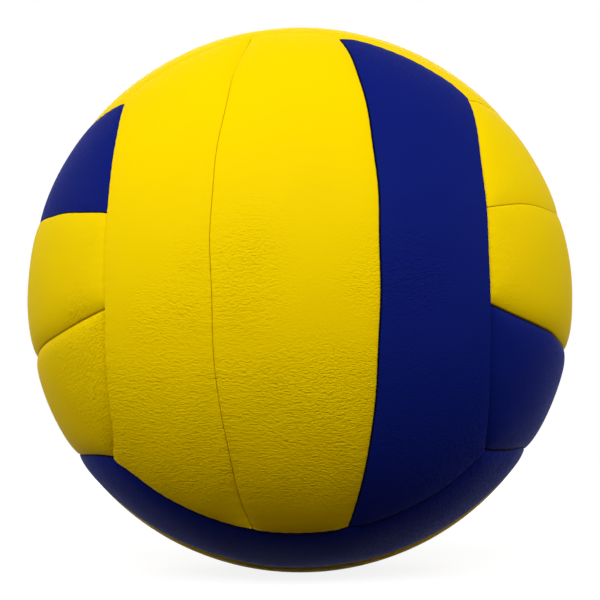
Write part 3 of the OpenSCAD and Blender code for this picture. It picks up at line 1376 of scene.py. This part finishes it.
        inset, step = sizes.leather_t + self.underside_inset, self.coarse_ratio
        under_grids = plan.directions(sizes.edge_r, inset, self.across, self.along)
        under, under_flat = (grid[::step, ::step] for grid in under_grids)
        under_r = sizes.ball_r - sizes.leather_t - sunk(plan.seam_distances(under), plan.forms)
        underside = put(under, under_r, under_flat)
        surface.add_band(ring, grid_edge(underside), flat=True, slot=1)
        if strip.has_valve:
            self.build_hole(surface, put, face, underside, laid_flat)
        keep = cells_outside(underside.shape, (reach // step, reach // step))
        surface.add_grid(underside, keep, inwards=True, slot=1)
        return surface.make_object(f"{strip.name}_cover", materials, strip.mirrored)

    def build_hole(
        self,
        surface: Surface,
        put: Callable[..., Faces],
        face: Faces,
        underside: Faces,
        laid_flat: Array,
    ) -> None:
        """Fill the square left in the face with rings that turn it into the valve hole.

        Each ring lies a share of the way from the square to the circle, and the last ones
        go down through the leather to its underside.

        Args:
            surface: Surface of the cover.
            put: Function that adds points.
            face: Point numbers of the face's grid.
            underside: Point numbers of the underside's grid.
            laid_flat: Flat positions of the face's grid.
        """
        hole, sizes = self.hole, self.sizes
        block = middle_block(face.shape, (hole.block_steps,) * 2, points=True)
        across, along = grid_edge(laid_flat[block]).T
        angle, square_r = np.arctan2(along, across), np.hypot(across, along)
        lip_turn = np.linspace(QUARTER_TURN, 0, hole.lip_steps + 1)
        lip = hole.hole_r + hole.lip_r * (1 - np.cos(lip_turn))
        shares = np.linspace(0, 1, hole.ring_steps + 1)[1:-1]
        radii = [square_r + (lip[0] - square_r) * share for share in shares]
        radii += [np.full(len(angle), lip_r) for lip_r in lip]
        depths = [hole.drop(ring_r) for ring_r in radii] + [sizes.leather_t]
        ring = grid_edge(face[block])
        for ring_r, depth in zip(radii + radii[-1:], depths):
            around, flat = valve_ring(ring_r, angle, sizes.ball_r)
            inner = put(around, sizes.ball_r - depth, flat)
            surface.add_band(ring, inner, inwards=True)
            ring = inner
        reach = hole.block_steps // self.coarse_ratio
        block = middle_block(underside.shape, (reach, reach), points=True)
        surface.add_band(ring, grid_edge(underside[block]), inwards=True, flat=True, slot=1)


@dataclass
class BackingLayers:
    """Foam pads and woven lining behind the covers: closed slabs with soft edges."""

    sizes: BallSizes
    handwork: Handwork
    edge_round: float = 0.5
    across: Spacing = Spacing(SLAB_EDGE, 12)
    along: Spacing = Spacing(SLAB_EDGE, 40)
    foam_hole_r: float = 5.0
    lining_hole_r: float = 15.3
    block_steps: tuple[int, int] = (5, 4)
    hole_rings: int = 3

    def put(
        self, surface: Surface, strip: Strip, directions: Array, radius: Array | float, flat: Array
    ) -> Faces:
        """Add points of a strip, with their places on it.

        Args:
            surface: Surface of the slab.
            strip: The strip.
            directions: Unit vectors in the front group's frame.
            radius: Distances from the ball's middle.
            flat: Positions across and along the strip.

        Returns:
            The points' numbers.
        """
        radius = np.broadcast_to(radius, directions.shape[:-1])[..., None]
        place = np.concatenate([flat, radius], axis=-1)
        points = self.handwork.bend(strip.to_ball(directions * radius))
        return surface.add_points(points, **{STRIP_ATTRIBUTE: place})

    def add_slab(
        self,
        surface: Surface,
        strip: Strip,
        outer_r: float,
        thickness: float,
        hole_r: float,
        sinks: bool,
    ) -> None:
        """Add one strip's slab.

        The outer face follows its sphere, sinks towards the seams if it is foam, and rounds
        off by a quarter circle over the last half millimetre. The inner face follows its own
        sphere and rounds off in the same way. Rings round the valve join the two.

        Args:
            surface: Surface that gets the slab.
            strip: The strip.
            outer_r: Radius of the slab's outer face.
            thickness: Thickness of the slab.
            hole_r: Radius of the hole round the valve.
            sinks: True if the outer face sinks towards the seams.
        """
        put, plan = partial(self.put, surface, strip), StripPlan(strip, self.sizes)
        inset = self.sizes.backing_inset
        directions, laid_flat = plan.directions(outer_r, inset, self.across, self.along)
        distances = plan.seam_distances(directions)
        drop = rolled(np.minimum.reduce(distances) - inset, self.edge_round)
        sink = sunk(distances, plan.forms) if sinks else 0.0
        outer = put(directions, outer_r - drop - sink, laid_flat)
        inner = put(directions, outer_r - thickness + drop, laid_flat)
        reach = self.block_steps if strip.has_valve else (0, 0)
        if strip.has_valve:
            block = middle_block(outer.shape, reach, points=True)
            across, along = grid_edge(laid_flat[block]).T
            angle, square_r = np.arctan2(along, across), np.hypot(across, along)
            steps = np.linspace(0, 1, self.hole_rings + 1)[1:]
            rings = [grid_edge(outer[block])]
            for share, depth in [(s, 0.0) for s in steps] + [(s, thickness) for s in steps[::-1]]:
                ring_r = square_r + (hole_r - square_r) * share
                around, flat = valve_ring(ring_r, angle, outer_r)
                rings.append(put(around, outer_r - depth, flat))
            rings.append(grid_edge(inner[block]))
            for first, second in zip(rings, rings[1:]):
                surface.add_band(first, second, inwards=not strip.mirrored)
        keep = cells_outside(outer.shape, reach)
        surface.add_grid(outer, keep, inwards=strip.mirrored)
        surface.add_grid(inner, keep, inwards=not strip.mirrored)
        surface.add_band(grid_edge(outer), grid_edge(inner), inwards=strip.mirrored)

    def build_foam(self, strip: Strip, material: Material) -> Piece:
        """Make the foam pad of one strip.

        Args:
            strip: The strip.
            material: The foam.

        Returns:
            The pad.
        """
        surface, sizes = Surface(), self.sizes
        self.add_slab(surface, strip, sizes.foam_out_r, sizes.foam_t, self.foam_hole_r, sinks=True)
        return surface.make_object(f"{strip.name}_pad", [material])

    def build_lining(self, group: Group, material: Material) -> Piece:
        """Make the lining of one group: a piece of cloth for each strip.

        Args:
            group: The group.
            material: The cloth.

        Returns:
            The lining.
        """
        surface, layer = Surface(), (self.sizes.lining_out_r, self.sizes.lining_t)
        for strip in group.strips:
            self.add_slab(surface, strip, *layer, self.lining_hole_r, sinks=False)
        return surface.make_object(f"{group.value}_lining_cloth", [material])


@dataclass
class SeamThreads:
    """Threads of the lockstitches that lie on the turned-in leather, four runs to a strip."""

    sizes: BallSizes
    handwork: Handwork
    stitch_mm: float = 3.0
    dip: float = 0.1
    dip_sharpness: int = 8
    step_mm: float = 0.5
    fewest_steps: int = 8
    sides: int = 6

    def run(self, wall: Wall, start: float, stop: float) -> tuple[Array, Array, Array]:
        """Lay the middle line of one run along a wall.

        It is an arc about the wall's axis on the stitches' sphere, at the thread's distance
        inside the wall.

        Args:
            wall: Bearing and angle of the wall.
            start: Angle about the wall's axis where the run begins.
            stop: Angle where it ends.

        Returns:
            Points, unit vectors towards the wall, and lengths along the run.
        """
        bearing, angle = wall
        line = angle - math.asin(self.sizes.thread_inset / self.sizes.stitch_r)
        ring_r = self.sizes.stitch_r * math.sin(line)
        count = max(self.fewest_steps, int(abs(stop - start) * ring_r / self.step_mm))
        turn = np.linspace(start, stop, count)
        axis = np.array([math.cos(bearing), math.sin(bearing), 0.0])
        beside = np.array([-math.sin(bearing), math.cos(bearing), 0.0])
        below = np.array([0.0, 0.0, -1.0])
        out = np.sin(turn)[:, None] * beside + np.cos(turn)[:, None] * below
        points = self.sizes.stitch_r * math.cos(line) * axis + ring_r * out
        to_wall = math.cos(line) * out - math.sin(line) * axis
        return points, to_wall, (turn - turn[0]) * ring_r

    def run_end(self, wall: Wall, other: Wall) -> float:
        """Work out the angle about one wall's axis at which its thread nears another wall.

        The line on the first wall's circle meets the second wall's circle there, by the
        cosine rule of a spherical triangle.

        Args:
            wall: Bearing and angle of the wall that the thread follows.
            other: Bearing and angle of the wall where it stops.

        Returns:
            The angle.
        """
        stitch_r, end_inset = self.sizes.stitch_r, self.sizes.backing_inset + self.sizes.thread_gap
        other_line = other[1] - math.asin(end_inset / stitch_r)
        line = wall[1] - math.asin(self.sizes.thread_inset / stitch_r)
        between = other[0] - wall[0]
        level = math.cos(other_line) - math.cos(line) * math.cos(between)
        return math.asin(level / (math.sin(line) * math.sin(between)))

    def add_tube(
        self, surface: Surface, strip: Strip, points: Array, to_wall: Array, length: Array
    ) -> None:
        """Carry a ring along a run, dipping towards the leather at each stitch's hole.

        The dip is a high power of a cosine of the length. Stored on each point are its
        length along the run and the cosine and sine of its turn round the thread.

        Args:
            surface: Surface that gets the tube.
            strip: The strip.
            points: Points of the run's middle line.
            to_wall: Unit vectors towards the wall.
            length: Lengths along the run.
        """
        along = np.gradient(points, axis=0)
        along /= np.linalg.norm(along, axis=1, keepdims=True)
        out = np.cross(to_wall, along)
        dip = self.dip * np.cos(np.pi * length / self.stitch_mm) ** self.dip_sharpness
        angle = np.linspace(0, math.tau, self.sides, endpoint=False)[:, None]
        ring = np.cos(angle)[..., None] * out + np.sin(angle)[..., None] * to_wall
        tube = points + dip[:, None] * to_wall + self.sizes.thread_d / 2 * ring
        stored = np.stack(np.broadcast_arrays(length, np.cos(angle), np.sin(angle)), axis=-1)
        on_ball = self.handwork.bend(strip.to_ball(tube))
        numbers = surface.add_points(on_ball, **{THREAD_ATTRIBUTE: stored})
        surface.add_grid(np.concatenate([numbers, numbers[:1]]), inwards=strip.mirrored)
        for cap in (numbers[::-1, 0], numbers[:, -1]):
            surface.add_faces((cap[::-1] if strip.mirrored else cap)[None], flat=True)

    def build(self, group: Group, material: Material) -> Piece:
        """Make the threads of one group.

        Args:
            group: The group.
            material: The thread.

        Returns:
            The threads.
        """
        surface = Surface()
        for strip in group.strips:
            left, right, ends = StripPlan(strip, self.sizes).walls
            runs = []
            for wall in (left, right):
                start = self.run_end(wall, ends)
                half = -math.pi if start < 0 else math.pi
                runs.append((wall, *sorted((start, half - start))))
            first, last = sorted(self.run_end(ends, wall) for wall in (left, right))
            runs += [(ends, first, last), (ends, math.pi - last, math.pi - first)]
            for run in runs:
                self.add_tube(surface, strip, *self.run(*run))
        return surface.make_object(f"{group.value}_stitching", [material])


# Turned pieces


def rounded_profile(corners: list[Corner], steps: int = 4) -> Array:
    """Round the corners of an open profile.

    Each corner becomes an arc that touches both of its sides: it starts and ends at the
    rounding's radius times the tangent of half the turn from the corner.

    Args:
        corners: Radius, height and rounding of each corner in millimetres.
        steps: Steps of each arc.

    Returns:
        Points of the profile: radius and height.
    """
    points = []
    for number, (x, z, rounding) in enumerate(corners):
        corner = np.array([x, z])
        if rounding == 0:
            points.append(corner[None])
            continue
        before = np.array(corners[number - 1][:2]) - corner
        after = np.array(corners[number + 1][:2]) - corner
        before /= np.linalg.norm(before)
        after /= np.linalg.norm(after)
        half = math.acos(float(np.clip(before @ after, -1, 1))) / 2
        reach = rounding / math.tan(half)
        towards = (before + after) / np.linalg.norm(before + after)
        middle = corner + towards * rounding / math.sin(half)
        start, stop = corner + before * reach - middle, corner + after * reach - middle
        turn = math.pi - 2 * half
        share = np.linspace(0, 1, steps + 1)[:, None] * turn
        arc = (np.sin(turn - share) * start + np.sin(share) * stop) / math.sin(turn)
        points.append(middle + arc)
    return np.concatenate(points)


def turned_piece(name: str, profile: Array, sides: int, material: Material) -> Piece:
    """Turn a profile about Z.

    A point is the profile's radius times the sine and cosine of the turn, at the profile's
    height. Ends on the axis are closed by fans, and a profile without them is closed by
    joining its end to its start.

    Args:
        name: Name of the piece.
        profile: Radius and height of each step, with the material on its left.
        sides: Steps of the turn.
        material: Material of the piece.

    Returns:
        The piece.
    """
    surface, poles = Surface(), profile[0, 0] == 0
    angle = np.linspace(0, math.tau, sides, endpoint=False)
    radius, height = (profile[1:-1] if poles else profile).T[..., None]
    rings = np.broadcast_arrays(radius * np.cos(angle), radius * np.sin(angle), height)
    numbers = surface.add_points(np.stack(rings, axis=-1))
    closed = np.concatenate([numbers, numbers[:, :1]], axis=1)
    if not poles:
        closed = np.concatenate([closed, closed[:1]])
    surface.add_grid(closed, inwards=True)
    if poles:
        for z, ring in ((profile[0, 1], closed[0]), (profile[-1, 1], closed[-1, ::-1])):
            pole = surface.add_points(np.array([[0.0, 0.0, z]]))
            fan = np.stack([np.full(sides, pole[0]), ring[1:], ring[:-1]], axis=-1)
            surface.add_faces(fan)
    return surface.make_object(name, [material])


def sphere_arc(radius: float, inner: float, outer: float, steps: int) -> list[Corner]:
    """Follow a sphere between two distances from the axis: height is the root of R2 - r2.

    Args:
        radius: Radius of the sphere.
        inner: First distance from the axis.
        outer: Last distance.
        steps: Steps of the arc.

    Returns:
        Profile corners: radius, height and no rounding.
    """
    distances = np.linspace(inner, outer, steps + 1).tolist()
    return [(distance, math.sqrt(radius**2 - distance**2), 0.0) for distance in distances]


@dataclass
class Valve:
    """Rubber valve: a housing whose flange is glued to the bladder, and a core that pulls out.

    Sizes are in millimetres, and heights along Z from the ball's middle. The groove round
    the housing's face is given by distances in from the face's edge and depths.
    """

    face_r: float = 4.7
    top_z: float = 104.4
    tube_r: float = 5.5
    bottom_z: float = 83.3
    floor_z: float = 84.8
    air_r: float = 1.5
    flange_r: float = 15.0
    flange_in_r: float = 99.4
    flange_t: float = 1.0
    flange_steps: int = 10
    flange_bevel: float = 0.02
    rim_width: float = 0.5
    rim_rise: float = 0.55
    foot_reach: float = 0.3
    foot_drop: float = 0.55
    neck_reach: float = 0.4
    neck_rise: float = 0.35
    groove: tuple[tuple[float, float], ...] = ((0.75, 0.0), (0.85, 0.18), (1.0, 0.18), (1.08, 0.02))
    mouth_depth: float = 0.06
    seat_z: float = 102.6
    seat_step: float = 0.1
    core_head_r: float = 3.3
    core_stem_r: float = 2.5
    core_gap: float = 0.08
    core_bottom_z: float = 85.6
    core_foot_r: float = 1.5
    core_foot_l: float = 2.2
    needle_r: float = 1.25
    needle_l: float = 13.0
    needle_chamfer: float = 0.5
    chamfer_rim: float = 0.5
    sides: int = 96

    def build_housing(self, material: Material) -> Piece:
        """Make the housing: a stepped tube with a curved flange and a rounded lip.

        Args:
            material: The rubber.

        Returns:
            The housing.
        """
        head_bore, stem_bore = self.core_head_r + self.core_gap, self.core_stem_r + self.core_gap
        inner_r, steps = self.flange_in_r, self.flange_steps
        outer_r = inner_r + self.flange_t
        rim_z = math.sqrt(inner_r**2 - self.flange_r**2) + self.rim_rise
        foot, neck = self.tube_r + self.foot_reach, self.face_r + self.neck_reach
        corners = [
            (head_bore, self.seat_z, 0.0),
            (stem_bore, self.seat_z, 0.12),
            (stem_bore, self.floor_z, 0.3),
            (self.air_r, self.floor_z, 0.2),
            (self.air_r, self.bottom_z, 0.2),
            (self.tube_r, self.bottom_z, 0.7),
            (self.tube_r, inner_r - self.foot_drop, 0.0),
            *sphere_arc(inner_r, foot, self.flange_r - self.rim_width, steps),
            (self.flange_r, rim_z, 0.0),
            *sphere_arc(outer_r, self.flange_r - self.flange_bevel, neck, steps),
            (self.face_r, outer_r + self.neck_rise, 0.0),
            (self.face_r, self.top_z, 0.45),
            *((self.face_r - inset, self.top_z - depth, 0.0) for inset, depth in self.groove),
            (head_bore, self.top_z - self.mouth_depth, 0.12),
            (head_bore, self.seat_z + self.seat_step, 0.0),
        ]
        return turned_piece("valve_moulding", rounded_profile(corners), self.sides, material)

    def build_core(self, material: Material) -> Piece:
        """Make the core: a headed plug with the needle's hole and a tapered foot.

        Args:
            material: The rubber.

        Returns:
            The core.
        """
        chamfer_r, needle_z = self.needle_r + self.needle_chamfer, self.top_z - self.needle_l
        corners = [
            (0.0, self.core_bottom_z, 0.0),
            (self.core_foot_r, self.core_bottom_z, 0.3),
            (self.core_stem_r, self.core_bottom_z + self.core_foot_l, 0.5),
            (self.core_stem_r, self.seat_z, 0.0),
            (self.core_head_r, self.seat_z, 0.15),
            (self.core_head_r, self.top_z, 0.3),
            (chamfer_r + self.chamfer_rim, self.top_z, 0.0),
            (chamfer_r, self.top_z, 0.15),
            (self.needle_r, self.top_z - self.needle_chamfer, 0.2),
            (self.needle_r, needle_z, 0.3),
            (0.0, needle_z, 0.0),
        ]
        return turned_piece("valve_plug", rounded_profile(corners), self.sides, material)


@dataclass
class Bladder:
    """Air bladder: a thin butyl ball with a hole for the valve."""

    sizes: BallSizes
    hole_r: float = 5.8
    rings: int = 90
    sides: int = 144

    def circle(self, radius: float) -> Array:
        """Follow a circle from the pole below up to the hole's edge: radius and height."""
        turn = np.linspace(0, math.pi - math.asin(self.hole_r / radius), self.rings)
        return np.stack([radius * np.sin(turn), -radius * np.cos(turn)], axis=-1)

    def build(self, material: Material) -> Piece:
        """Make the bladder. Its profile runs up its outer circle and down the inner one.

        Args:
            material: The rubber.

        Returns:
            The bladder.
        """
        outer, inner = self.sizes.bladder_r, self.sizes.bladder_r - self.sizes.bladder_t
        profile = np.concatenate([self.circle(outer), self.circle(inner)[::-1]])
        return turned_piece("butyl_bladder", profile, self.sides, material)


# Studio


@dataclass(frozen=True)
class Lamp:
    """Soft box: an area lamp that looks at the ball's middle.

    Bearing 0 is in front of the ball and 90 on its right, in degrees.
    """

    name: str
    bearing: float
    elevation: float
    distance: float
    width: float
    height: float
    power: float

    def build(self) -> None:
        """Hang the lamp."""
        data = bpy.data.lights.new(self.name, "AREA")
        data.shape = "RECTANGLE"
        data.size, data.size_y, data.energy = self.width, self.height, self.power
        lamp = bpy.data.objects.new(self.name, data)
        bearing, elevation = math.radians(self.bearing), math.radians(self.elevation)
        level = math.cos(elevation)
        out = Vector((level * math.sin(bearing), -level * math.cos(bearing), math.sin(elevation)))
        lamp.rotation_euler = out.to_track_quat("Z", "Y").to_euler()
        lamp.location = out * self.distance
        bpy.context.scene.collection.objects.link(lamp)


@dataclass
class Studio:
    """White sweep of paper, soft boxes and the camera, in metres and degrees."""

    floor_z: float = -0.105
    floor_size: float = 6.0
    camera_distance: float = 0.38756
    clip_start: float = 0.01
    focal_px: float = 968.2
    frame_px: float = 600.0
    yaw: float = -0.58
    pitch: float = -9.109
    roll: float = -0.728
    sensor_mm: float = 36.0
    lamps: tuple[Lamp, ...] = (
        Lamp("Front soft box", -4.5, 33.0, 1.6, 2.0, 0.7, 29.5),
        Lamp("Left soft box", -85.0, 17.0, 1.4, 0.6, 0.8, 4.6),
        Lamp("Right soft box", 85.0, 17.0, 1.4, 0.6, 0.8, 5.0),
        Lamp("Back soft box", 180.0, 30.0, 1.6, 1.2, 0.7, 9.0),
    )
    world_fill: float = 0.08

    def build_camera(self) -> None:
        """Set up the camera. Its turn is a yaw, then a pitch, then a roll about its own view."""
        angles = zip((self.roll, self.pitch, self.yaw), "YXZ")
        roll, pitch, yaw = (Matrix.Rotation(math.radians(a), 3, axis) for a, axis in angles)
        right, forward, up = roll @ pitch @ yaw
        data = bpy.data.cameras.new("Camera")
        data.sensor_width = self.sensor_mm
        data.lens = self.focal_px / self.frame_px * self.sensor_mm
        data.clip_start = self.clip_start
        camera = bpy.data.objects.new("Camera", data)
        axes = Matrix((right, up, -forward)).transposed().to_4x4()
        camera.matrix_world = Matrix.Translation(-forward * self.camera_distance) @ axes
        bpy.context.scene.collection.objects.link(camera)
        bpy.context.scene.camera = camera

    def build_floor(self) -> None:
        """Lay the paper under the ball."""
        half, z = self.floor_size / 2, self.floor_z
        mesh = bpy.data.meshes.new("paper_floor")
        corners = [(-half, -half, z), (half, -half, z), (half, half, z), (-half, half, z)]
        mesh.from_pydata(corners, [], [(0, 1, 2, 3)])
        mesh.materials.append(SeamlessPaper().build())
        floor = bpy.data.objects.new("paper_floor", mesh)
        bpy.context.scene.collection.objects.link(floor)

    def build_world(self) -> None:
        """Surround the scene with white for the eye and for reflections, and little light."""
        world = bpy.data.worlds.new("White studio")
        bpy.context.scene.world = world
        add = empty_tree(world)
        white = linear_colour(WHITE)
        fill = add("Background", {"Color": white, "Strength": self.world_fill})[0]
        bright = add("Background", {"Color": white, "Strength": 1.0})[0]
        add("OutputWorld", (add("MixShader", (seen_directly(add), fill, bright))[0],))

    def build(self) -> None:
        """Set up the camera, the floor, the surroundings and the lamps."""
        self.build_camera()
        self.build_floor()
        self.build_world()
        for lamp in self.lamps:
            lamp.build()
        bpy.context.scene.view_settings.view_transform = "Standard"


def install(piece: Piece, body: str, node: str, slot: str) -> None:
    """Put a finished piece in its node's place and log its size.

    Args:
        piece: The piece.
        body: CAD body that it rides on.
        node: CAD node that it stands for.
        slot: Material slot of the record.
    """
    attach(piece, body)
    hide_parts(node)
    triangles = sum(len(face.vertices) - 2 for face in piece.data.polygons)
    log.info("%s: %d triangles, %s", piece.name, triangles, slot)


def cloth_area(piece: Piece) -> float:
    """Work out a thin slab's area on one side: half of all its faces.

    Args:
        piece: The slab.

    Returns:
        Area in square metres.
    """
    areas = np.zeros(len(piece.data.polygons))
    piece.data.polygons.foreach_get("area", areas)
    return float(areas.sum() / 2)


def main() -> None:
    """Build and dress every piece in order, and light the scene."""
    logging.basicConfig(level=logging.INFO, format="%(message)s")
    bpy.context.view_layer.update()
    sizes, handwork = BallSizes(), Handwork()
    backing = LeatherBacking().build()
    # Each leather's second colour is painted shade in the folds, shared with random mottle.
    yellow = SyntheticLeather("Yellow microfibre leather", "#F6D400", "#E0B400")
    navy = SyntheticLeather(
        "Navy microfibre leather",
        "#0F1C6E",
        "#0A1350",
        relief_mm=0.1,
        seam_shade_colour="#020412",
        seam_full=0.45,
        seam_shade=0.85,
    )
    leathers = {Leather.YELLOW: yellow.build(), Leather.BLUE: navy.build()}
    covers = CoverPanels(sizes, handwork)
    for strip in STRIPS:
        cover = covers.build(strip, [leathers[strip.leather], backing])
        install(cover, "ball", f"{strip.name}_panel", strip.leather.value)
    layers = BackingLayers(sizes, handwork)
    foam = ClosedCellFoam().build()
    for strip in STRIPS:
        pad = layers.build_foam(strip, foam)
        install(pad, "ball", f"{strip.name}_foam", "foam")
    cloth = WovenLining().build()
    thread = SewingThread().build()
    threads = SeamThreads(sizes, handwork)
    for group in Group:
        lining = layers.build_lining(group, cloth)
        install(lining, "ball", f"{group.value}_lining", "lining")
        cloth_area(lining)
        install(threads.build(group, thread), "ball", f"{group.value}_seam_thread", "thread")
    butyl = MouldedRubber("Black butyl rubber", "#17171A", "#34343A", 0.55).build()
    install(Bladder(sizes).build(butyl), "ball", "bladder", "bladder_rubber")
    valve = Valve()
    housing_rubber = MouldedRubber("Black valve rubber", "#1C1C1F", "#3A3A3E", 0.5).build()
    core_rubber = MouldedRubber("Grey valve core rubber", "#333336", "#515155", 0.42).build()
    install(valve.build_housing(housing_rubber), "ball", "valve_housing", "valve_rubber")
    install(valve.build_core(core_rubber), "valve_core", "valve_core", "core_rubber")
    Studio().build()


if __name__ == "__main__":
    main()
